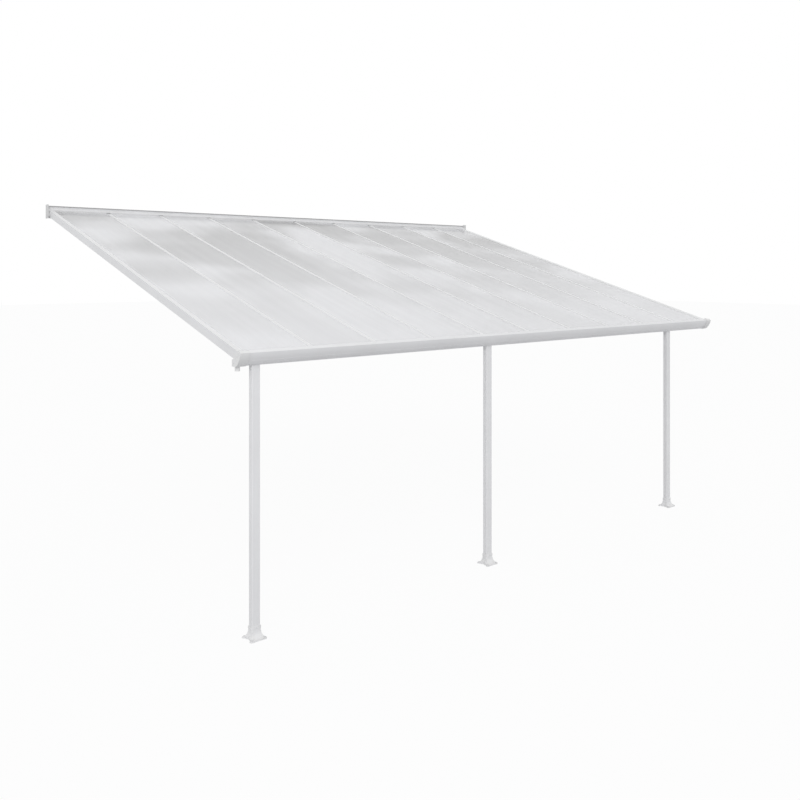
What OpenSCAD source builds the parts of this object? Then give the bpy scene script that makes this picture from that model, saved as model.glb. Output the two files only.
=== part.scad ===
// Attached patio cover: a lean-to roof of twin-wall sheets on aluminium glazing bars.
// The wall profile carries the back, and a gutter on three posts carries the front.
// X runs along the wall, -Y points away from it and Z is up, all in millimetres.
// The origin is the middle of the wall profile's flat back face.

/* [Roof] */
// Width of the roof over its two side rails
roof_w = 6100; // [4000:10:7000]
// Reach of the roof from the wall to the front lip of the gutter
roof_reach = 4062; // [3000:1:4600]
// Fall of the roof towards the gutter, in degrees
roof_slope = 16.8; // [10:0.1:20]
// Height of the underside of the sheets where they meet the wall
roof_z = 14; // [4:0.5:20]

/* [Sheets] */
// Thickness of the twin-wall sheets
sheet_t = 6; // [4:0.5:10]
// Thickness of each skin of a sheet
sheet_skin = 0.5; // [0.4:0.05:0.8]
// Distance from one rib of a sheet to the next
flute_pitch = 11; // [8:0.5:20]
// Thickness of the ribs of a sheet
flute_rib = 0.4; // [0.3:0.05:0.8]
// Room beside a sheet for it to grow in the sun
sheet_play = 3; // [1:0.5:5]
// Overhang of the sheets past the end of the glazing bars, over the gutter
sheet_over = 44; // [10:1:46]

/* [Glazing bars] */
// Depth of the glazing bars below the sheets
bar_depth = 55; // [40:1:60]
// Width of the box of a glazing bar
bar_w = 26; // [20:1:34]
// Width of the seat flange below the sheets
bar_seat_w = 42; // [38:1:50]
// Width of the cap flange over the sheets
bar_cap_w = 34; // [24:1:38]
// Wall of the glazing bars
bar_t = 1.8; // [1.4:0.1:2.4]
// Thickness of the web between two sheets
bar_web = 3; // [2:0.5:5]
// Rise of the rounded top of the cap flange
bar_crown = 1.6; // [1:0.1:3]

/* [Side rails] */
// Width of the side rails
rail_w = 42; // [38:1:60]
// Height of the side rails above the underside of the sheets
rail_up = 14; // [11.5:0.5:18]
// Wall of the side rails
rail_t = 2; // [1.6:0.1:3]

/* [Wall profile] */
// Height of the wall profile's back flange
wall_h = 130; // [124:1:150]
// Thickness of the back flange
wall_t = 3; // [2:0.5:4]
// Thickness of the cover nose and of the seat shelf
nose_t = 2.5; // [2:0.1:3.5]
// Reach of the cover nose over the sheets
nose_reach = 46; // [42:1:90]
// Height of the upstand above the cover nose
upstand = 22; // [14:1:26]
// Length of the shelf that the glazing bars rest on
shelf_l = 36; // [25:1:50]
// Overhang of the wall profile past each side rail
wall_over = 8; // [5:1:40]
// Thickness of the end caps of the wall profile
wall_cap_t = 3; // [2:0.5:5]
// Width of the end block on each end cap
block_w = 18; // [12:1:30]
// Depth of the end blocks, out from the wall
block_d = 50; // [30:1:60]
// Rise of the end blocks above the wall profile
block_up = 12; // [5:1:30]
// Radius of the wall screw holes
wall_hole_r = 4.5; // [3:0.5:6]
// Height of the upper row of wall screws over the lower row
wall_row = 48; // [40:1:56]

/* [Gutter] */
// Height of the gutter over its front lip
gutter_h = 112; // [100:1:130]
// Wall of the gutter
gutter_t = 2.2; // [1.8:0.1:3]
// Lean of the front face from the bottom out to the lip
gutter_lean = 62; // [50:1:72]
// Radius of the bowed front face
gutter_bow = 150; // [110:1:260]
// Run of the slanted lip, in from the top of the front face
lip_w = 20; // [12:1:24]
// Rise of the slanted lip
lip_slant = 18; // [10:1:24]
// Length of the lip's turned-down hem
lip_hem = 6; // [4:1:10]
// Height of the lip over the plane of the sheets, run on to the lip
lip_rise = 41; // [30:1:50]
// Height of the fluted lower band of the front face
band_h = 34; // [24:1:44]
// Radius of the beads on the lower band
bead_r = 1.4; // [0.8:0.1:2]
// Number of beads on the lower band
beads = 4; // [2:1:5]
// Distance from the post to the gutter's back wall
gutter_back = 3; // [2:0.5:8]
// Length of the gutter's seat under the glazing bars
gutter_seat = 16; // [12:1:20]
// Overhang of the gutter past each side rail
gutter_over = 14; // [5:1:30]
// Wall of the gutter's end caps
gutter_cap_t = 3; // [2:0.5:4]
// Length of the sleeve of the end caps, wrapped round the gutter
sleeve_l = 74; // [46:1:80]

/* [Outlet] */
// Outer radius of the outlet spout
spout_r = 18; // [14:0.5:20]
// Wall of the outlet spout
spout_t = 2.5; // [2:0.25:3.5]
// Distance from the gutter's end to the middle of the spout
spout_in = 24; // [22:1:28]
// Reach of the spout below the end cap
spout_drop = 32; // [20:1:60]

/* [Posts] */
// Width of the posts along the wall
post_w = 66; // [56:1:80]
// Depth of the posts away from the wall
post_d = 46; // [40:1:48]
// Wall of the posts
post_t = 2.2; // [1.8:0.1:3]
// Corner radius of the posts
post_r = 5; // [3:0.5:8]
// Clear height under the gutter
clear_h = 1930; // [1800:10:2400]
// Distance of the posts behind the front lip of the gutter
post_back = 84; // [82:1:90]
// Distance of the left post from the left end of the roof
post_left_in = 146; // [100:1:1000]
// Position of the middle post, as a share of the roof's width from its left end
post_middle_share = 0.411; // [0.35:0.001:0.65]
// Distance of the right post from the right end of the roof
post_right_in = 752; // [100:1:1000]
// Width of the grooves along the posts
groove_w = 4; // [2:0.5:6]
// Depth of the grooves along the posts
groove_d = 1; // [0.5:0.1:1.2]
// Distance of the grooves from the middle of each face, as a share of its width
groove_share = 0.2; // [0.12:0.01:0.3]

/* [Post heads] */
// Thickness of the head plate between a post and the gutter
head_t = 4; // [3:0.5:8]
// Depth of the plug inside the post
plug_l = 60; // [30:1:100]
// Wall of the plug
plug_t = 3; // [2:0.5:5]

/* [Feet] */
// Distance of the anchor holes from the middle of the foot
ear_x = 53; // [49:0.5:60]
// Radius of the ears
ear_r = 14; // [13:0.5:18]
// Thickness of the foot plate
foot_t = 7; // [5:0.5:10]
// Height of the foot up to the top of its collar
foot_h = 88; // [60:1:110]
// Height of the flare, up to where it meets the collar
flare_h = 52; // [40:1:66]
// Wall of the collar round the post
collar_t = 5; // [4:0.5:8]
// Height of the band round the top of the collar
collar_band = 12; // [8:1:16]
// Extra thickness of the band
band_out = 2; // [1:0.5:3]
// Radius of the anchor holes
anchor_r = 5.5; // [4:0.5:6]
// Radius of the arched notch on each side of the foot
notch_r = 22; // [14:1:24]

/* [Fit] */
// Clearance between pieces that fit into each other
fit_gap = 0.3; // [0.2:0.05:0.4]

/* [Hidden] */
$fn = 48;
white = [0.93, 0.93, 0.94];
clear = [0.80, 0.82, 0.84, 0.6];
// One sheet lies in each bay, as the node names list them
bays = 10;
bay = (roof_w - rail_w) / bays;
sheet_w = bay - bar_web - 2 * sheet_play;
slot_h = sheet_t + 2 * fit_gap;
// Ends of the glazing bars, as run lengths down the slope from the wall plane
bar_top = (wall_t + fit_gap + bar_depth * sin(roof_slope)) / cos(roof_slope);
post_y = post_back - roof_reach;
back_y = post_y + post_d / 2 + gutter_back;
bar_end = (gutter_seat - back_y + bar_depth * sin(roof_slope)) / cos(roof_slope);
bar_len = bar_end - bar_top;
sheet_top = bar_top + 12;
sheet_len = bar_end + sheet_over - sheet_top;
// Heights of the gutter, taken from where the sheets cross its back wall
gutter_top = roof_z - roof_reach * tan(roof_slope) + lip_rise;
gutter_z = gutter_top - gutter_h;
ground_z = gutter_z - clear_h;
lip_y = -roof_reach;
hem_y = lip_y + lip_w + gutter_t * norm([lip_w, lip_slant]) / lip_slant;
toe_y = lip_y + gutter_lean;
gutter_x = roof_w / 2 + gutter_over;
outlet = [spout_in - gutter_x, post_y, gutter_z - fit_gap - gutter_cap_t];
post_left_x = post_left_in - roof_w / 2;
post_middle_x = (post_middle_share - 0.5) * roof_w;
post_right_x = roof_w / 2 - post_right_in;
wall_len = roof_w + 2 * wall_over;
wall_top = wall_h / 2;
nose_z = wall_top - upstand;
nose_l = nose_reach / cos(roof_slope);
nose_low = max(slot_h + bar_t + bar_crown, rail_up) + fit_gap;
post_len = clear_h - head_t - foot_t;
post = [post_w, post_d];
socket = post + [2, 2] * fit_gap;
collar = socket + [2, 2] * collar_t;
ear_out = ear_x + ear_r;
flare_out = ear_out + foot_t / 2;

// Point in the plane across the wall, from a run down the slope and a height over it
function roof_point(run, up) = [
  -run * cos(roof_slope) - up * sin(roof_slope),
  roof_z - run * sin(roof_slope) + up * cos(roof_slope)
];

// Places its 2D children, drawn in the plane across the wall, as a bar along X
module along_x(length) {
  translate([-length / 2, 0, 0]) rotate([90, 0, 90]) linear_extrude(length) children();
}

// Roof frame in the plane across the wall: x runs up the slope and y is its normal
module roof_2d() {
  translate([0, roof_z]) rotate(roof_slope) children();
}

// Bar in the roof frame from one run length down the slope to another
module down_roof(start, length) {
  translate([0, 0, roof_z]) rotate([roof_slope, 0, 0])
    translate([0, -start, 0]) rotate([90, 0, 0]) linear_extrude(length) children();
}

module box_2d(x0, y0, x1, y1) {
  translate([x0, y0]) square([x1 - x0, y1 - y0]);
}

// Wall between two points, as thick as told, on the left of the way from a to b
module wall_2d(a, b, t) {
  d = b - a;
  n = [-d[1], d[0]] / norm(d) * t;
  polygon([a, b, b + n, a + n]);
}

// Rectangle with true round corners
module round_rect(size, r) {
  square(size - [2 * r, 0], center = true);
  square(size - [0, 2 * r], center = true);
  for (x = [-1, 1], y = [-1, 1]) translate([x * (size[0] / 2 - r), y * (size[1] / 2 - r)]) circle(r);
}

// Screw port: a ring on the inside of a box section
module screw_port(y) {
  translate([0, y]) difference() {
    circle(4);
    circle(2.2);
  }
}

module bar_section() {
  port_y = bar_t + 3.5;
  difference() {
    box_2d(-bar_w / 2, -bar_depth, bar_w / 2, 0);
    box_2d(-bar_w / 2 + bar_t, -bar_depth + bar_t, bar_w / 2 - bar_t, -bar_t);
  }
  difference() {
    union() {
      screw_port(-port_y);
      screw_port(-bar_depth + port_y);
    }
    box_2d(-bar_w, 0, bar_w, bar_w);
    box_2d(-bar_w, -bar_depth - bar_w, bar_w, -bar_depth);
  }
  box_2d(-bar_seat_w / 2, -bar_t, bar_seat_w / 2, 0);
  box_2d(-bar_web / 2, -bar_t, bar_web / 2, slot_h + bar_t);
  crown_r = (bar_cap_w * bar_cap_w / 4 + bar_crown * bar_crown) / (2 * bar_crown);
  intersection() {
    translate([0, slot_h + bar_t + bar_crown - crown_r]) circle(crown_r, $fn = 96);
    box_2d(-bar_cap_w / 2, slot_h, bar_cap_w / 2, slot_h + bar_t + bar_crown);
  }
}

// Side rail section with its sheet channel on the +x side
module rail_section() {
  difference() {
    union() {
      box_2d(-rail_w / 2, -bar_depth, bar_w / 2, 0);
      box_2d(-rail_w / 2, -bar_depth, bar_web / 2, rail_up);
      box_2d(-rail_w / 2, slot_h, rail_w / 2, rail_up);
      box_2d(-rail_w / 2, -rail_t, rail_w / 2, 0);
    }
    box_2d(-rail_w / 2 + rail_t, -bar_depth + rail_t, bar_w / 2 - rail_t, -rail_t);
    box_2d(-rail_w / 2 + rail_t, 0, bar_web / 2 - rail_t, slot_h);
    box_2d(-rail_w / 2 + rail_t, slot_h + rail_t, rail_w / 2 - rail_t, rail_up - rail_t);
  }
}

// Twin-wall sheet section: two skins with ribs between them and closed edges
module sheet_section() {
  cells = floor((sheet_w - flute_rib) / flute_pitch);
  first = -cells * flute_pitch / 2;
  difference() {
    translate([-sheet_w / 2, fit_gap]) square([sheet_w, sheet_t]);
    for (i = [0 : cells - 1])
      translate([first + i * flute_pitch + flute_rib / 2, fit_gap + sheet_skin])
        square([flute_pitch - flute_rib, sheet_t - 2 * sheet_skin]);
  }
}

// Wall profile section: back flange, hooked upstand, cover nose and seat shelf
module wall_section() {
  box_2d(-wall_t, -wall_top, 0, wall_top);
  box_2d(-wall_t - 5, wall_top - wall_t, 0, wall_top);
  wall_2d([-wall_t / 2, nose_z], roof_point(nose_l, nose_low + nose_t), nose_t);
  roof_2d() box_2d(-nose_l, nose_low, -nose_l + nose_t, nose_low + 2 * nose_t);
  intersection() {
    roof_2d() box_2d(-bar_top - shelf_l, -bar_depth - fit_gap - nose_t, 0, -bar_depth - fit_gap);
    box_2d(-roof_reach, -2 * wall_h, 0, wall_h);
  }
}

// Screws go through the back flange in the middle of each bay, in two rows
module wall_profile() {
  color(white) difference() {
    along_x(wall_len) wall_section();
    for (i = [0 : bays - 1], z = [0, wall_row])
      translate([(i - (bays - 1) / 2) * bay, 0, nose_z - 16 - z])
        rotate([90, 0, 0]) cylinder(r = wall_hole_r, h = 2 * wall_t + 1, center = true);
  }
}

// End cap of the wall profile: a plate on its outline, with a hollow block at the wall
module wall_end_cap(side) {
  low = roof_point(bar_top + shelf_l, -bar_depth - fit_gap - nose_t);
  tip = roof_point(nose_l, nose_low);
  color(white) {
    translate([side * (wall_len + wall_cap_t) / 2, 0, 0]) along_x(wall_cap_t)
      polygon([
        [0, low[1] - 3], [low[0] * 0.6, low[1] - 3], low - [3, 0], tip - [3, 6],
        tip + [-3, 2 * nose_t + 2], [-wall_t - 2, nose_z + 8], [0, wall_top + 2]
      ]);
    translate([side * (wall_len + wall_cap_t + block_w) / 2, 0, 0]) difference() {
      along_x(block_w - wall_cap_t) box_2d(-block_d, -wall_top - 3, 0, wall_top + block_up);
      along_x(block_w - 3 * wall_cap_t)
        box_2d(-block_d + wall_cap_t, -wall_top - 3 + wall_cap_t, 1, wall_top + block_up - wall_cap_t);
    }
  }
}

module side_rail(side) {
  color(white) translate([side * (roof_w - rail_w) / 2, 0, 0])
    mirror([side > 0 ? 1 : 0, 0, 0]) down_roof(bar_top, bar_len) rail_section();
}

module rafter(i) {
  color(white) translate([(i - bays / 2) * bay, 0, 0]) down_roof(bar_top, bar_len) bar_section();
}

module roof_panel(i) {
  color(clear) translate([(i - (bays + 1) / 2) * bay, 0, 0])
    down_roof(sheet_top, sheet_len) sheet_section();
}

// Centre of the arc of the front face, which runs from the toe up to the slanted lip
function bow_centre() =
  let (a = [lip_y, gutter_top - lip_slant], b = [toe_y, gutter_z], d = b - a, h = norm(d) / 2)
  (a + b) / 2 + [-d[1], d[0]] / norm(d) * sqrt(gutter_bow * gutter_bow - h * h);

function bow_point(z) =
  let (c = bow_centre())
  [c[0] - sqrt(gutter_bow * gutter_bow - (z - c[1]) * (z - c[1])), z];

// Filled outline of the gutter, inset by f on its front and lip, and by t elsewhere
module trough_2d(f, t) {
  intersection() {
    translate(bow_centre()) circle(gutter_bow - f, $fn = 180);
    box_2d(lip_y - gutter_bow, gutter_z + t, back_y - t, gutter_top);
    translate([lip_y, gutter_top - lip_slant]) rotate(atan2(lip_slant, lip_w))
      translate([-gutter_bow, -2 * gutter_bow - f]) square([3, 2] * gutter_bow);
  }
}

// Room above the gutter's seat, where the side rails and glazing bars come in
module bar_room() {
  roof_2d() box_2d(-bar_end, -bar_depth - fit_gap, 0, gutter_h);
}

// Gutter section: bowed front with beads, slanted lip, flat bottom, back wall and seat
module gutter_section() {
  difference() {
    trough_2d(0, 0);
    trough_2d(gutter_t, gutter_t);
    bar_room();
  }
  box_2d(lip_y + lip_w, gutter_top - lip_hem, hem_y, gutter_top);
  intersection() {
    roof_2d() box_2d(-bar_end, -bar_depth - fit_gap - gutter_t, 0, -bar_depth - fit_gap);
    box_2d(lip_y, gutter_z, back_y, gutter_top);
  }
  for (i = [1 : beads]) translate(bow_point(gutter_z + i * band_h / beads)) circle(bead_r, $fn = 24);
}

module gutter() {
  color(white) difference() {
    along_x(2 * gutter_x) gutter_section();
    translate(outlet) cylinder(r = spout_r - spout_t, h = gutter_cap_t + fit_gap + 2 * gutter_t);
  }
}

// End cap of the gutter: a plate on its outline and a sleeve wrapped round its outside
module gutter_cap_body(side) {
  translate([side * (gutter_x + gutter_cap_t / 2), 0, 0]) along_x(gutter_cap_t) difference() {
    trough_2d(-bead_r - fit_gap - gutter_cap_t, -fit_gap - gutter_cap_t);
    bar_room();
  }
  translate([side * (gutter_x - sleeve_l / 2), 0, 0]) along_x(sleeve_l) difference() {
    trough_2d(-bead_r - fit_gap - gutter_cap_t, -fit_gap - gutter_cap_t);
    trough_2d(-bead_r - fit_gap, -fit_gap);
    bar_room();
  }
}

module gutter_end_cap_left() {
  color(white) difference() {
    union() {
      gutter_cap_body(-1);
      translate(outlet - [0, 0, spout_drop]) cylinder(r = spout_r, h = spout_drop + 1);
    }
    translate(outlet - [0, 0, spout_drop + 1])
      cylinder(r = spout_r - spout_t, h = spout_drop + gutter_cap_t + fit_gap + 1);
  }
}

module gutter_end_cap_right() {
  color(white) gutter_cap_body(1);
}

// Rectangular tube with round corners and two grooves along each face
module post(x) {
  color(white) translate([x, post_y, ground_z + foot_t]) linear_extrude(post_len)
    difference() {
      round_rect(post, post_r);
      round_rect(post - [2, 2] * post_t, post_r - post_t);
      for (a = [0, 180], s = [-1, 1]) rotate(a) {
        translate([s * groove_share * post_w - groove_w / 2, post_d / 2 - groove_d])
          square([groove_w, groove_d + 1]);
        translate([post_w / 2 - groove_d, s * groove_share * post_d - groove_w / 2])
          square([groove_d + 1, groove_w]);
      }
    }
}

// Head of a post: a plate under the gutter with a hollow plug down into the post
module post_head(x) {
  plug = post - [2, 2] * (post_t + fit_gap);
  color(white) translate([x, post_y, gutter_z - head_t]) {
    linear_extrude(head_t) round_rect(post, post_r);
    translate([0, 0, -plug_l]) linear_extrude(plug_l) difference() {
      round_rect(plug, post_r - post_t);
      square(plug - [2, 2] * plug_t, center = true);
    }
  }
}

// Outline of the foot: a plate with four round ears and an arched notch on two sides
module foot_outline() {
  difference() {
    square([2 * ear_x, 2 * ear_out - 4], center = true);
    for (s = [-1, 1]) translate([s * ear_out, 0]) circle(notch_r);
  }
  for (x = [-1, 1], y = [-1, 1]) translate([x, y] * ear_x) {
    circle(ear_r);
    translate([x < 0 ? 0 : -ear_r, -ear_r]) square([ear_r, 2 * ear_r]);
  }
}

// Profile of a flare that runs from the collar's half width out past the plate's edge
module flare_2d(half) {
  rise = flare_h - foot_t;
  run = flare_out - half;
  r = max(run, (run * run + rise * rise) / (2 * run));
  for (s = [0, 1]) mirror([s, 0]) difference() {
    box_2d(-1, 0, flare_out, foot_t + rise);
    translate([half + r, foot_t + rise]) circle(r, $fn = 120);
  }
}

// Foot: a plate with ears, flared on all sides up to a banded collar round the post
module foot(x) {
  color(white) translate([x, post_y, ground_z]) difference() {
    union() {
      linear_extrude(foot_t) foot_outline();
      translate([0, 0, foot_t / 2]) linear_extrude(foot_h - foot_t / 2)
        round_rect(collar, post_r + collar_t);
      translate([0, 0, foot_h - collar_band]) linear_extrude(collar_band)
        round_rect(collar + [2, 2] * band_out, post_r + collar_t + band_out);
      intersection() {
        linear_extrude(foot_h) foot_outline();
        translate([0, flare_out, 0]) rotate([90, 0, 0])
          linear_extrude(2 * flare_out) flare_2d(collar[0] / 2);
        translate([-flare_out, 0, 0]) rotate([90, 0, 90])
          linear_extrude(2 * flare_out) flare_2d(collar[1] / 2);
      }
    }
    translate([0, 0, foot_t]) linear_extrude(foot_h) round_rect(socket, post_r + fit_gap);
    for (a = [-1, 1], b = [-1, 1]) translate([a * ear_x, b * ear_x, 0]) {
      translate([0, 0, -1]) cylinder(r = anchor_r, h = foot_h);
      translate([0, 0, foot_t]) cylinder(r = 1.7 * anchor_r, h = foot_h);
    }
  }
}

wall_profile();
wall_end_cap(-1);  // wall_end_cap_left
wall_end_cap(1);  // wall_end_cap_right
side_rail(-1);  // side_rail_left
side_rail(1);  // side_rail_right
rafter(1);  // rafter_1
rafter(2);  // rafter_2
rafter(3);  // rafter_3
rafter(4);  // rafter_4
rafter(5);  // rafter_5
rafter(6);  // rafter_6
rafter(7);  // rafter_7
rafter(8);  // rafter_8
rafter(9);  // rafter_9
roof_panel(1);  // roof_panel_1
roof_panel(2);  // roof_panel_2
roof_panel(3);  // roof_panel_3
roof_panel(4);  // roof_panel_4
roof_panel(5);  // roof_panel_5
roof_panel(6);  // roof_panel_6
roof_panel(7);  // roof_panel_7
roof_panel(8);  // roof_panel_8
roof_panel(9);  // roof_panel_9
roof_panel(10);  // roof_panel_10
gutter();
gutter_end_cap_left();
gutter_end_cap_right();
post(post_left_x);  // post_left
post(post_middle_x);  // post_middle
post(post_right_x);  // post_right
post_head(post_left_x);  // post_head_left
post_head(post_middle_x);  // post_head_middle
post_head(post_right_x);  // post_head_right
foot(post_left_x);  // foot_left
foot(post_middle_x);  // foot_middle
foot(post_right_x);  // foot_right
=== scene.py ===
import math

import bmesh
import bpy
from mathutils import Matrix, Vector


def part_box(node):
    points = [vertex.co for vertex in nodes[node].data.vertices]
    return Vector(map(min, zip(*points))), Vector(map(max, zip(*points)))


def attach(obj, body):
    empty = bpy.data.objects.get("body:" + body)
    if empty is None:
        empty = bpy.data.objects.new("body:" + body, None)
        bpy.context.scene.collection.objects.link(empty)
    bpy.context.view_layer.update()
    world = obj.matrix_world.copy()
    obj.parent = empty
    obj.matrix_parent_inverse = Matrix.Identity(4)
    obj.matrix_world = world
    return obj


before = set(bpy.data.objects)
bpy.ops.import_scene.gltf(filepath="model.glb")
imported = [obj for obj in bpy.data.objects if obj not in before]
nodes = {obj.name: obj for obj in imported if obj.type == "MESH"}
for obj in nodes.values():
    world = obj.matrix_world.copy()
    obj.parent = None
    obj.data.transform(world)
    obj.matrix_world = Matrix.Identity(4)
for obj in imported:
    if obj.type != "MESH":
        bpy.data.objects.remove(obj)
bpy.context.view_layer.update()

# Studio
# A plain pale floor that runs out to white, a soft sky light, one broad lamp high on the left
# and a weaker one near the left end. The feet stand on the floor. Nothing here is the object.
bpy.context.scene.view_settings.view_transform = "Standard"
ground_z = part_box("foot_left")[0].z


# 1 where the camera, a mirrored ray or a ray through a sheet meets this material, and 0 for light
def seen_directly(nt):
    ray = nt.nodes.new("ShaderNodeLightPath")
    seen = ray.outputs["Is Camera Ray"]
    for kind in ("Is Glossy Ray", "Is Transmission Ray"):
        either = nt.nodes.new("ShaderNodeMath")
        either.operation = "MAXIMUM"
        nt.links.new(seen, either.inputs[0])
        nt.links.new(ray.outputs[kind], either.inputs[1])
        seen = either.outputs[0]
    return seen


FLOOR_HALF = 60
corners = [(x * FLOOR_HALF, y * FLOOR_HALF, 0) for x, y in ((-1, -1), (1, -1), (1, 1), (-1, 1))]
floor_mesh = bpy.data.meshes.new("studio_floor")
floor_mesh.from_pydata(corners, [], [(0, 1, 2, 3)])
floor = bpy.data.objects.new("studio_floor", floor_mesh)
floor.location.z = ground_z - 0.0005
bpy.context.scene.collection.objects.link(floor)

floor_paper = bpy.data.materials.new("floor_paper")
floor_paper.use_nodes = True
nt = floor_paper.node_tree
nt.nodes.clear()
paper = nt.nodes.new("ShaderNodeBsdfDiffuse")
paper.inputs["Color"].default_value = (0.62, 0.62, 0.63, 1)
glow = nt.nodes.new("ShaderNodeEmission")
glow.inputs["Color"].default_value = (1, 1, 1, 1)
share = nt.nodes.new("ShaderNodeMath")
share.operation = "MULTIPLY"
share.inputs[1].default_value = 0.955
blend = nt.nodes.new("ShaderNodeMixShader")
out = nt.nodes.new("ShaderNodeOutputMaterial")
nt.links.new(seen_directly(nt), share.inputs[0])
nt.links.new(share.outputs[0], blend.inputs["Fac"])
nt.links.new(paper.outputs[0], blend.inputs[1])
nt.links.new(glow.outputs[0], blend.inputs[2])
nt.links.new(blend.outputs[0], out.inputs["Surface"])
floor_mesh.materials.append(floor_paper)

sky = bpy.data.worlds.new("studio_sky")
bpy.context.scene.world = sky
sky.use_nodes = True
nt = sky.node_tree
nt.nodes.clear()
sky_light = nt.nodes.new("ShaderNodeBackground")
sky_light.inputs["Color"].default_value = (0.98, 0.99, 1.0, 1)
sky_light.inputs["Strength"].default_value = 0.68
sky_white = nt.nodes.new("ShaderNodeBackground")
sky_white.inputs["Color"].default_value = (1, 1, 1, 1)
sky_white.inputs["Strength"].default_value = 1.0
blend = nt.nodes.new("ShaderNodeMixShader")
out = nt.nodes.new("ShaderNodeOutputWorld")
nt.links.new(seen_directly(nt), blend.inputs["Fac"])
nt.links.new(sky_light.outputs[0], blend.inputs[1])
nt.links.new(sky_white.outputs[0], blend.inputs[2])
nt.links.new(blend.outputs[0], out.inputs["Surface"])

sun_data = bpy.data.lights.new("broad_lamp", "SUN")
sun_data.energy = 0.95
sun_data.angle = math.radians(40)
sun = bpy.data.objects.new("broad_lamp", sun_data)
sun.rotation_euler = (math.radians(36), math.radians(-35), 0)
bpy.context.scene.collection.objects.link(sun)

side_data = bpy.data.lights.new("side_lamp", "AREA")
side_data.energy = 85
side_data.size = 3
side = bpy.data.objects.new("side_lamp", side_data)
side.location = (-7.5, -8.3, 2.6)
side.rotation_euler = (Vector((-1, -3, -1)) - side.location).to_track_quat("-Z", "Y").to_euler()
bpy.context.scene.collection.objects.link(side)

# The photograph is taken level, from the front left, a little above the front of the roof.
camera_data = bpy.data.cameras.new("camera")
camera_data.sensor_width = 36
camera_data.lens = 38.018
camera_data.shift_y = -0.1609
camera_data.clip_end = 200
camera = bpy.data.objects.new("camera", camera_data)
camera.location = (-5.973, -9.195, -0.624)
camera.rotation_euler = (math.radians(90), 0, math.radians(-40.24))
bpy.context.scene.collection.objects.link(camera)
bpy.context.scene.camera = camera

# Wall profile
# The long extrusion that is screwed to the house. It is aluminium with a white powder coat,
# and its nose covers the tops of the sheets. A rubber seal fills the slot under the nose.
SLOPE = math.radians(16.8)
ROOF_Z = 0.014
BAY = 0.6058
BAYS = 10
bay_middles = [(i - (BAYS - 1) / 2) * BAY for i in range(BAYS)]
rafter_lines = [(i - BAYS / 2) * BAY for i in range(1, BAYS)]
roof_plane = Matrix.Translation((0, 0, ROOF_Z)) @ Matrix.Rotation(SLOPE, 4, "X")


def new_group(name, inputs, outputs):
    group = bpy.data.node_groups.new(name, "ShaderNodeTree")
    for label, kind, value in inputs:
        socket = group.interface.new_socket(name=label, in_out="INPUT", socket_type=kind)
        socket.default_value = value
    for label, kind in outputs:
        group.interface.new_socket(name=label, in_out="OUTPUT", socket_type=kind)
    return group, group.nodes.new("NodeGroupInput"), group.nodes.new("NodeGroupOutput")


# Powder coat: a soft mottle in the white, a fine orange-peel skin and a faint film of dust
# that has settled on faces that look up and run in streaks down the fall of the roof.
powder, group_in, group_out = new_group(
    "powder_coat",
    [("Colour", "NodeSocketColor", (0.8, 0.8, 0.8, 1)),
     ("Dust colour", "NodeSocketColor", (0.5, 0.48, 0.44, 1)),
     ("Dust", "NodeSocketFloat", 0.1), ("Gloss spread", "NodeSocketFloat", 0.1),
     ("Roughness", "NodeSocketFloat", 0.35), ("Peel", "NodeSocketFloat", 0.1)],
    [("Colour", "NodeSocketColor"), ("Roughness", "NodeSocketFloat"), ("Normal", "NodeSocketVector")])
place = powder.nodes.new("ShaderNodeTexCoord")
mottle = powder.nodes.new("ShaderNodeTexNoise")
mottle.inputs["Scale"].default_value = 2.3
mottle.inputs["Detail"].default_value = 5
mottle.inputs["Roughness"].default_value = 0.6
shade = powder.nodes.new("ShaderNodeMapRange")
shade.inputs["From Min"].default_value = 0.3
shade.inputs["From Max"].default_value = 0.7
shade.inputs["To Min"].default_value = 0.955
shade.inputs["To Max"].default_value = 1.02
tinted = powder.nodes.new("ShaderNodeVectorMath")
tinted.operation = "SCALE"
stretch = powder.nodes.new("ShaderNodeMapping")
stretch.inputs["Scale"].default_value = (34, 2.6, 2.6)
streaks = powder.nodes.new("ShaderNodeTexNoise")
streaks.inputs["Scale"].default_value = 1.0
streaks.inputs["Detail"].default_value = 6
surface = powder.nodes.new("ShaderNodeNewGeometry")
facing = powder.nodes.new("ShaderNodeSeparateXYZ")
up = powder.nodes.new("ShaderNodeMapRange")
up.inputs["From Min"].default_value = -0.2
up.inputs["From Max"].default_value = 1.0
up.inputs["To Min"].default_value = 0.25
film = powder.nodes.new("ShaderNodeMath")
film.operation = "MULTIPLY"
film_amount = powder.nodes.new("ShaderNodeMath")
film_amount.operation = "MULTIPLY"
film_amount.use_clamp = True
dusty = powder.nodes.new("ShaderNodeMix")
dusty.data_type = "RGBA"
peel = powder.nodes.new("ShaderNodeTexNoise")
peel.inputs["Scale"].default_value = 420
peel.inputs["Detail"].default_value = 2
skin = powder.nodes.new("ShaderNodeBump")
skin.inputs["Distance"].default_value = 0.0002
spread = powder.nodes.new("ShaderNodeMath")
spread.operation = "MULTIPLY_ADD"
link = powder.links.new
link(place.outputs["Object"], mottle.inputs["Vector"])
link(mottle.outputs["Fac"], shade.inputs["Value"])
link(group_in.outputs["Colour"], tinted.inputs[0])
link(shade.outputs["Result"], tinted.inputs["Scale"])
link(place.outputs["Object"], stretch.inputs["Vector"])
link(stretch.outputs["Vector"], streaks.inputs["Vector"])
link(surface.outputs["Normal"], facing.inputs["Vector"])
link(facing.outputs["Z"], up.inputs["Value"])
link(streaks.outputs["Fac"], film.inputs[0])
link(up.outputs["Result"], film.inputs[1])
link(film.outputs[0], film_amount.inputs[0])
link(group_in.outputs["Dust"], film_amount.inputs[1])
link(film_amount.outputs[0], dusty.inputs["Factor"])
link(tinted.outputs["Vector"], dusty.inputs["A"])
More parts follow.
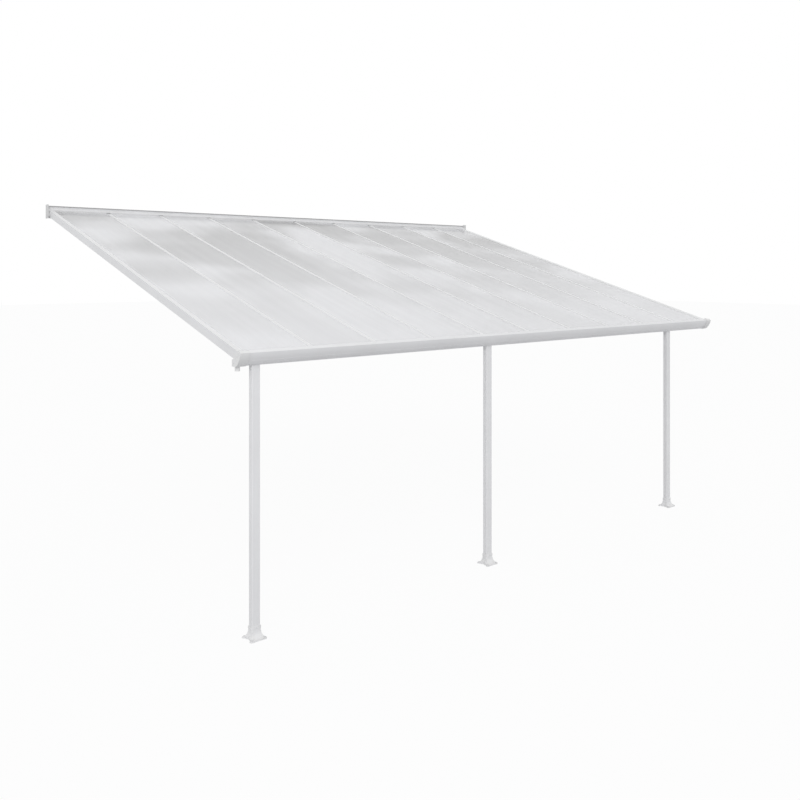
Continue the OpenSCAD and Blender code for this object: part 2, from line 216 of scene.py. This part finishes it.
link(group_in.outputs["Dust colour"], dusty.inputs["B"])
link(dusty.outputs["Result"], group_out.inputs["Colour"])
link(mottle.outputs["Fac"], spread.inputs[0])
link(group_in.outputs["Gloss spread"], spread.inputs[1])
link(group_in.outputs["Roughness"], spread.inputs[2])
link(spread.outputs[0], group_out.inputs["Roughness"])
link(place.outputs["Object"], peel.inputs["Vector"])
link(peel.outputs["Fac"], skin.inputs["Height"])
link(group_in.outputs["Peel"], skin.inputs["Strength"])
link(skin.outputs["Normal"], group_out.inputs["Normal"])


def coat(name, colour, roughness, dust, peel=0.25, gloss_spread=0.12):
    material = bpy.data.materials.new(name)
    material.use_nodes = True
    tree = material.node_tree
    shader = tree.nodes["Principled BSDF"]
    layer = tree.nodes.new("ShaderNodeGroup")
    layer.node_tree = powder
    layer.inputs["Colour"].default_value = (*colour, 1)
    layer.inputs["Dust"].default_value = dust
    layer.inputs["Roughness"].default_value = roughness - gloss_spread / 2
    layer.inputs["Gloss spread"].default_value = gloss_spread
    layer.inputs["Peel"].default_value = peel
    tree.links.new(layer.outputs["Colour"], shader.inputs["Base Color"])
    tree.links.new(layer.outputs["Roughness"], shader.inputs["Roughness"])
    tree.links.new(layer.outputs["Normal"], shader.inputs["Normal"])
    return material


def dress(name, material):
    mesh = nodes[name].data
    mesh.materials.clear()
    mesh.materials.append(material)


def add_piece(name, bm, material, smooth=False):
    bmesh.ops.recalc_face_normals(bm, faces=bm.faces[:])
    mesh = bpy.data.meshes.new(name)
    bm.to_mesh(mesh)
    bm.free()
    if smooth:
        for face in mesh.polygons:
            face.use_smooth = len(face.vertices) == 4
    mesh.materials.append(material)
    piece = bpy.data.objects.new(name, mesh)
    bpy.context.scene.collection.objects.link(piece)
    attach(piece, "root")
    return piece


# A strip with one outline all along it, from one end to the other. Each end is a function that
# puts a point of the outline in its place.
def add_strip(bm, outline, start, end):
    rings = [[bm.verts.new(put(*point)) for point in outline] for put in (start, end)]
    count = len(outline)
    for i in range(count):
        j = (i + 1) % count
        bm.faces.new((rings[0][i], rings[0][j], rings[1][j], rings[1][i]))
    bm.faces.new(rings[0][::-1])
    bm.faces.new(rings[1])


# Ends of strips: upright at one place along the wall, lying in the roof at one place along it,
# and lying in the roof at one place down its fall
def wall_end(x):
    return lambda y, z: Vector((x, y, z))


def roof_end(x):
    return lambda y, z: roof_plane @ Vector((x, y, z))


def fall_end(y):
    return lambda x, z: roof_plane @ Vector((x, y, z))


# A turned form, such as a screw head: rings of (radius, height) along the axis
def add_turned(bm, matrix, profile, sides=20):
    angles = [2 * math.pi * k / sides for k in range(sides)]
    rings = [[bm.verts.new(matrix @ Vector((radius * math.cos(a), radius * math.sin(a), height)))
              for a in angles] for radius, height in profile]
    for a, b in zip(rings, rings[1:]):
        for k in range(sides):
            bm.faces.new((a[k], a[(k + 1) % sides], b[(k + 1) % sides], b[k]))
    bm.faces.new(rings[0][::-1])
    bm.faces.new(rings[-1])


# A hexagon bolt head on its washer, standing on the face at this place and looking along +z
def add_hex_head(bm, matrix, washer, flats, height):
    add_turned(bm, matrix, [(washer, 0), (washer, 0.0010), (washer * 0.96, 0.0014),
                            (washer * 0.6, 0.0015)], 28)
    corner = flats / 2 / math.cos(math.pi / 6)
    add_turned(bm, matrix, [(corner, 0.0014), (corner, height * 0.8), (corner * 0.84, height)], 6)


# The place of a fastener, turned so that its +z looks in this direction
def looking(place, direction):
    turn = Vector(direction).to_track_quat("Z", "Y").to_matrix().to_4x4()
    return Matrix.Translation(place) @ turn


profile_coat = coat("profile_coat", (0.80, 0.80, 0.81), roughness=0.34, dust=0.20)
steel = coat("zinc_plated_screw", (0.56, 0.57, 0.58), roughness=0.36, dust=0.35, peel=0.5,
             gloss_spread=0.25)
steel.node_tree.nodes["Principled BSDF"].inputs["Metallic"].default_value = 0.9
seal_rubber = coat("grey_seal_rubber", (0.78, 0.78, 0.79), roughness=0.62, dust=0.5, peel=0.9)
dress("wall_profile", profile_coat)

FLANGE_FRONT = -0.003
SCREW_ROWS = (0.027, -0.021)
screws = bmesh.new()
for middle in bay_middles:
    for z in SCREW_ROWS:
        add_hex_head(screws, looking((middle, FLANGE_FRONT, z), (0, -1, 0)), 0.0085, 0.010, 0.0065)
add_piece("wall_screws", screws, steel)

# A dark grey strip pushed over the hooked edge paints the shade along the top of the wall profile: its
# dark colour is painted shade.
STRIP_HALF = 3.0575
top_strip_painted_shade = coat("wall_top_painted_shade", (0.36, 0.36, 0.37), roughness=0.6, dust=0.4, peel=0.8)
top_strip = bmesh.new()
hook_cover = [(-0.0098, 0.0600), (-0.0098, 0.0662), (-0.0090, 0.0668), (-0.0006, 0.0668),
              (-0.0006, 0.0651), (-0.0082, 0.0651), (-0.0082, 0.0600)]
add_strip(top_strip, hook_cover, wall_end(-STRIP_HALF), wall_end(STRIP_HALF))
add_piece("wall_top_strip", top_strip, top_strip_painted_shade)

NOSE_END = -0.04805
SEAL_HALF = BAY / 2 - 0.0215
seal = bmesh.new()
flap = [(NOSE_END + 0.0002, 0.0143), (NOSE_END + 0.0070, 0.0143), (NOSE_END + 0.0070, 0.0066),
        (NOSE_END - 0.0012, 0.0064), (NOSE_END - 0.0004, 0.0100)]
for middle in bay_middles:
    add_strip(seal, flap, roof_end(middle - SEAL_HALF), roof_end(middle + SEAL_HALF))
add_piece("nose_seal", seal, seal_rubber)

# Wall end caps
# Moulded plastic covers that close the two ends of the wall profile. They are pushed onto its ends.
# Their plastic is coloured greyer than the coated metal, and this grey is painted shade on the end
# faces.
cap_plastic = coat("moulded_cap", (0.79, 0.79, 0.79), roughness=0.42, dust=0.2, peel=0.6)
wall_cap_painted_shade_plastic = coat("wall_cap_plastic_painted_shade", (0.69, 0.69, 0.69), roughness=0.42, dust=0.2, peel=0.6)
for side in ("left", "right"):
    dress("wall_end_cap_" + side, wall_cap_painted_shade_plastic)

# A strip of white foam fills the gap between each cap's plate and the side rail.
FOAM_FROM, FOAM_TO = 3.0503, 3.0577
foam = [(-0.0034, 0.0400), (-0.0424, 0.0160), (-0.0424, -0.0440), (-0.0034, -0.0440)]
fillers = bmesh.new()
for side in (-1, 1):
    add_strip(fillers, foam, wall_end(side * FOAM_FROM), wall_end(side * FOAM_TO))
add_piece("wall_end_fillers", fillers, cap_plastic)

# Side rails and rafters
# Box extrusions that the sheets slide into. They lie in the fall of the roof, from the shelf
# of the wall profile to the seat of the gutter, and rubber beads seal their caps on the sheets.
RAIL_END = -4.1615
rafter_names = ["rafter_%d" % i for i in range(1, BAYS)]
for name in rafter_names + ["side_rail_left", "side_rail_right"]:
    dress(name, profile_coat)

bead_rubber = coat("clear_grey_bead", (0.84, 0.845, 0.85), roughness=0.5, dust=0.4, peel=0.6)
beads = bmesh.new()
low_bead = [(0.0, 0.0063), (0.0012, 0.0063), (0.0016, 0.0070), (0.0012, 0.0077), (0.0, 0.0079)]
tall_bead = [(0.0, 0.0063), (0.0070, 0.0063), (0.0066, 0.0074), (0.0012, 0.0128), (0.0, 0.0132)]
RAFTER_CAP_HALF = 0.0170
RAIL_CAP_EDGE = 3.008
edges = [(x + side * RAFTER_CAP_HALF, side, low_bead) for x in rafter_lines for side in (-1, 1)]
edges += [(side * RAIL_CAP_EDGE, -side, tall_bead) for side in (-1, 1)]
for x, side, bead in edges:
    outline = [(x + side * a, z) for a, z in bead]
    add_strip(beads, outline, fall_end(NOSE_END - 0.0030), fall_end(RAIL_END + 0.0005))
add_piece("glazing_beads", beads, bead_rubber)

# Thin plastic plugs close the lower ends of the rafters' and rails' boxes.
rafter_plug = [(-0.0125, -0.0530), (-0.0105, -0.0547), (0.0105, -0.0547),
               (0.0125, -0.0530), (0.0125, -0.0022), (-0.0125, -0.0022)]
rail_plug = [(3.0490, -0.0535), (3.0475, -0.0547), (3.0170, -0.0547),
             (3.0160, -0.0535), (3.0160, 0.0130), (3.0490, 0.0130)]
plugs = bmesh.new()
for x in rafter_lines:
    outline = [(x + a, z) for a, z in rafter_plug]
    add_strip(plugs, outline, fall_end(RAIL_END), fall_end(RAIL_END - 0.0016))
for side in (-1, 1):
    outline = [(side * a, z) for a, z in rail_plug]
    add_strip(plugs, outline, fall_end(RAIL_END), fall_end(RAIL_END - 0.0020))
add_piece("rail_end_plugs", plugs, cap_plastic)

# Roof sheets
# Twin-wall polycarbonate, one sheet in each bay, with fine ribs along the fall. Its skins are
# glossy and milky clear. A clip-on trim closes the flutes at the gutter.
sheet_clear = bpy.data.materials.new("twin_wall_polycarbonate")
sheet_clear.use_nodes = True
tree = sheet_clear.node_tree
shader = tree.nodes["Principled BSDF"]

# Each sheet's milky colour is mixed towards dark grey in soft clouds, which are painted reflection and
# painted shade. They jump at every rafter, as each sheet sags and gleams a little differently. They are
# strongest near the wall, where less light comes through, and fade out to the gutter.
painted_reflection_and_shade, group_in, group_out = new_group(
    "sheet_painted_reflection_shade_and_haze", [("Bay", "NodeSocketFloat", BAY), ("Jump", "NodeSocketFloat", 0.3)],
    [("Painted reflection and shade", "NodeSocketFloat"), ("Haze", "NodeSocketFloat")])
place = painted_reflection_and_shade.nodes.new("ShaderNodeTexCoord")
across = painted_reflection_and_shade.nodes.new("ShaderNodeSeparateXYZ")
in_bays = painted_reflection_and_shade.nodes.new("ShaderNodeMath")
in_bays.operation = "DIVIDE"
bay_number = painted_reflection_and_shade.nodes.new("ShaderNodeMath")
bay_number.operation = "FLOOR"
shifted = painted_reflection_and_shade.nodes.new("ShaderNodeMath")
shifted.operation = "MULTIPLY_ADD"
spot = painted_reflection_and_shade.nodes.new("ShaderNodeCombineXYZ")
wide = painted_reflection_and_shade.nodes.new("ShaderNodeMapping")
wide.inputs["Scale"].default_value = (0.75, 1.15, 0.22)
patches = painted_reflection_and_shade.nodes.new("ShaderNodeTexNoise")
patches.inputs["Scale"].default_value = 1.0
patches.inputs["Detail"].default_value = 1.6
patches.inputs["Roughness"].default_value = 0.45
sharper = painted_reflection_and_shade.nodes.new("ShaderNodeMapRange")
sharper.interpolation_type = "SMOOTHSTEP"
sharper.inputs["From Min"].default_value = 0.36
sharper.inputs["From Max"].default_value = 0.64
near_wall = painted_reflection_and_shade.nodes.new("ShaderNodeMapRange")
near_wall.inputs["From Min"].default_value = -3.6
near_wall.inputs["From Max"].default_value = -0.4
near_wall.inputs["To Min"].default_value = 0.12
near_wall.inputs["To Max"].default_value = 0.85
amount = painted_reflection_and_shade.nodes.new("ShaderNodeMath")
amount.operation = "MULTIPLY"
run = painted_reflection_and_shade.nodes.new("ShaderNodeMapping")
run.inputs["Scale"].default_value = (9, 0.5, 0.5)
haze = painted_reflection_and_shade.nodes.new("ShaderNodeTexNoise")
haze.inputs["Scale"].default_value = 1.0
haze.inputs["Detail"].default_value = 3
link = painted_reflection_and_shade.links.new
link(place.outputs["Object"], across.inputs["Vector"])
link(across.outputs["X"], in_bays.inputs[0])
link(group_in.outputs["Bay"], in_bays.inputs[1])
link(in_bays.outputs[0], bay_number.inputs[0])
link(bay_number.outputs[0], shifted.inputs[0])
link(group_in.outputs["Jump"], shifted.inputs[1])
link(across.outputs["Y"], shifted.inputs[2])
link(across.outputs["X"], spot.inputs["X"])
link(shifted.outputs[0], spot.inputs["Y"])
link(bay_number.outputs[0], spot.inputs["Z"])
link(spot.outputs["Vector"], wide.inputs["Vector"])
link(wide.outputs["Vector"], patches.inputs["Vector"])
link(patches.outputs["Fac"], sharper.inputs["Value"])
link(across.outputs["Y"], near_wall.inputs["Value"])
link(sharper.outputs["Result"], amount.inputs[0])
link(near_wall.outputs["Result"], amount.inputs[1])
link(amount.outputs[0], group_out.inputs["Painted reflection and shade"])
link(place.outputs["Object"], run.inputs["Vector"])
link(run.outputs["Vector"], haze.inputs["Vector"])
link(haze.outputs["Fac"], group_out.inputs["Haze"])

painted_reflection_and_shade_node = tree.nodes.new("ShaderNodeGroup")
painted_reflection_and_shade_node.node_tree = painted_reflection_and_shade
# The dark grey B colour is the painted reflection and painted shade in the milky sheet.
milk_and_painted_reflection_shade = tree.nodes.new("ShaderNodeMix")
milk_and_painted_reflection_shade.data_type = "RGBA"
milk_and_painted_reflection_shade.inputs["A"].default_value = (0.95, 0.95, 0.965, 1)
milk_and_painted_reflection_shade.inputs["B"].default_value = (0.58, 0.575, 0.575, 1)
body = tree.nodes.new("ShaderNodeMapRange")
body.inputs["From Min"].default_value = 0.3
body.inputs["From Max"].default_value = 0.7
body.inputs["To Min"].default_value = 0.66
body.inputs["To Max"].default_value = 0.72
place = tree.nodes.new("ShaderNodeTexCoord")
wave = tree.nodes.new("ShaderNodeMapping")
wave.inputs["Scale"].default_value = (3.3, 1.1, 1.1)
ripple = tree.nodes.new("ShaderNodeTexNoise")
ripple.inputs["Scale"].default_value = 1.0
ripple.inputs["Detail"].default_value = 2
skin = tree.nodes.new("ShaderNodeBump")
skin.inputs["Strength"].default_value = 0.02
skin.inputs["Distance"].default_value = 0.0015
gloss = tree.nodes.new("ShaderNodeMapRange")
gloss.inputs["To Min"].default_value = 0.10
gloss.inputs["To Max"].default_value = 0.18
link = tree.links.new
link(painted_reflection_and_shade_node.outputs["Painted reflection and shade"], milk_and_painted_reflection_shade.inputs["Factor"])
link(milk_and_painted_reflection_shade.outputs["Result"], shader.inputs["Base Color"])
link(painted_reflection_and_shade_node.outputs["Haze"], body.inputs["Value"])
link(body.outputs["Result"], shader.inputs["Alpha"])
link(painted_reflection_and_shade_node.outputs["Haze"], gloss.inputs["Value"])
link(gloss.outputs["Result"], shader.inputs["Roughness"])
link(place.outputs["Object"], wave.inputs["Vector"])
link(wave.outputs["Vector"], ripple.inputs["Vector"])
link(ripple.outputs["Fac"], skin.inputs["Height"])
link(skin.outputs["Normal"], shader.inputs["Normal"])
shader.inputs["IOR"].default_value = 1.58
for i in range(BAYS):
    dress("roof_panel_%d" % (i + 1), sheet_clear)

SHEET_END = -4.2055
SHEET_HALF = 0.2984
trims = bmesh.new()
hook = [(SHEET_END - 0.0012, 0.0073), (SHEET_END + 0.0150, 0.0073), (SHEET_END + 0.0150, 0.0064),
        (SHEET_END - 0.0001, 0.0064), (SHEET_END - 0.0001, 0.0002), (SHEET_END + 0.0120, 0.0002),
        (SHEET_END + 0.0120, -0.0008), (SHEET_END + 0.0002, -0.0008), (SHEET_END - 0.0002, -0.0045),
        (SHEET_END - 0.0012, -0.0045)]
for middle in bay_middles:
    add_strip(trims, hook, roof_end(middle - SHEET_HALF), roof_end(middle + SHEET_HALF))
trim_white = coat("sheet_trim", (0.74, 0.75, 0.76), roughness=0.3, dust=0.2, peel=0.3)
add_piece("sheet_end_trims", trims, trim_white)

# Gutter
# A bowed extrusion with a slanted lip and fine beads along its lower band. It carries the front
# ends of the rails and rafters, and moulded caps are wrapped round both of its ends.
dress("gutter", profile_coat)
for side in ("left", "right"):
    dress("gutter_end_cap_" + side, cap_plastic)

painted_screw = coat("painted_screw_head", (0.72, 0.72, 0.73), roughness=0.36, dust=0.3, peel=0.4)
CAP_SCREWS = ((-4.022, -1.214), (-3.975, -1.262))
pan_head = [(0.0042, 0), (0.0042, 0.0008), (0.0034, 0.0020), (0.0018, 0.0024), (0.0014, 0.0014)]
cap_screws = bmesh.new()
for x, side in ((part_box("gutter_end_cap_left")[0].x, -1), (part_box("gutter_end_cap_right")[1].x, 1)):
    for y, z in CAP_SCREWS:
        add_turned(cap_screws, looking((x, y, z), (side, 0, 0)), pan_head)
add_piece("gutter_cap_screws", cap_screws, painted_screw, smooth=True)

# Posts
# Three rectangular tubes with fine grooves, under heads that are fixed to the gutter's bottom.
# A self-drilling screw on each side holds a post on the plug of its head.
for side in ("left", "middle", "right"):
    dress("post_" + side, profile_coat)
    dress("post_head_" + side, profile_coat)

POST_SCREW_DROP = 0.028
post_screws = bmesh.new()
for side in ("left", "middle", "right"):
    low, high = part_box("post_" + side)
    y, z = (low.y + high.y) / 2, high.z - POST_SCREW_DROP
    for x, direction in ((low.x, -1), (high.x, 1)):
        add_hex_head(post_screws, looking((x, y, z), (direction, 0, 0)), 0.0055, 0.0065, 0.0048)
add_piece("post_screws", post_screws, painted_screw)

# Feet
# Cast aluminium feet with the same white coat, a shade rougher. Each is bolted down through
# its four ears, and two screws through the band of its collar hold the post.
foot_coat = coat("foot_coat", (0.84, 0.84, 0.85), roughness=0.42, dust=0.45, peel=0.8)
EAR_STEP = 0.053
EAR_TOP = 0.007
BAND_FACE = 0.0303
BAND_DROP = 0.006
band_head = [(0.0040, 0), (0.0040, 0.0008), (0.0032, 0.0019), (0.0018, 0.0023), (0.0014, 0.0014)]
anchors = bmesh.new()
for side in ("left", "middle", "right"):
    dress("foot_" + side, foot_coat)
    low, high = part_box("foot_" + side)
    middle = (low + high) / 2
    for x in (-EAR_STEP, EAR_STEP):
        for y in (-EAR_STEP, EAR_STEP):
            add_hex_head(anchors, looking((middle.x + x, middle.y + y, low.z + EAR_TOP), (0, 0, 1)),
                         0.0090, 0.0135, 0.0078)
    for direction in (-1, 1):
        place = (middle.x, middle.y + direction * BAND_FACE, high.z - BAND_DROP)
        add_turned(anchors, looking(place, (0, direction, 0)), band_head)
add_piece("foot_anchors", anchors, painted_screw)
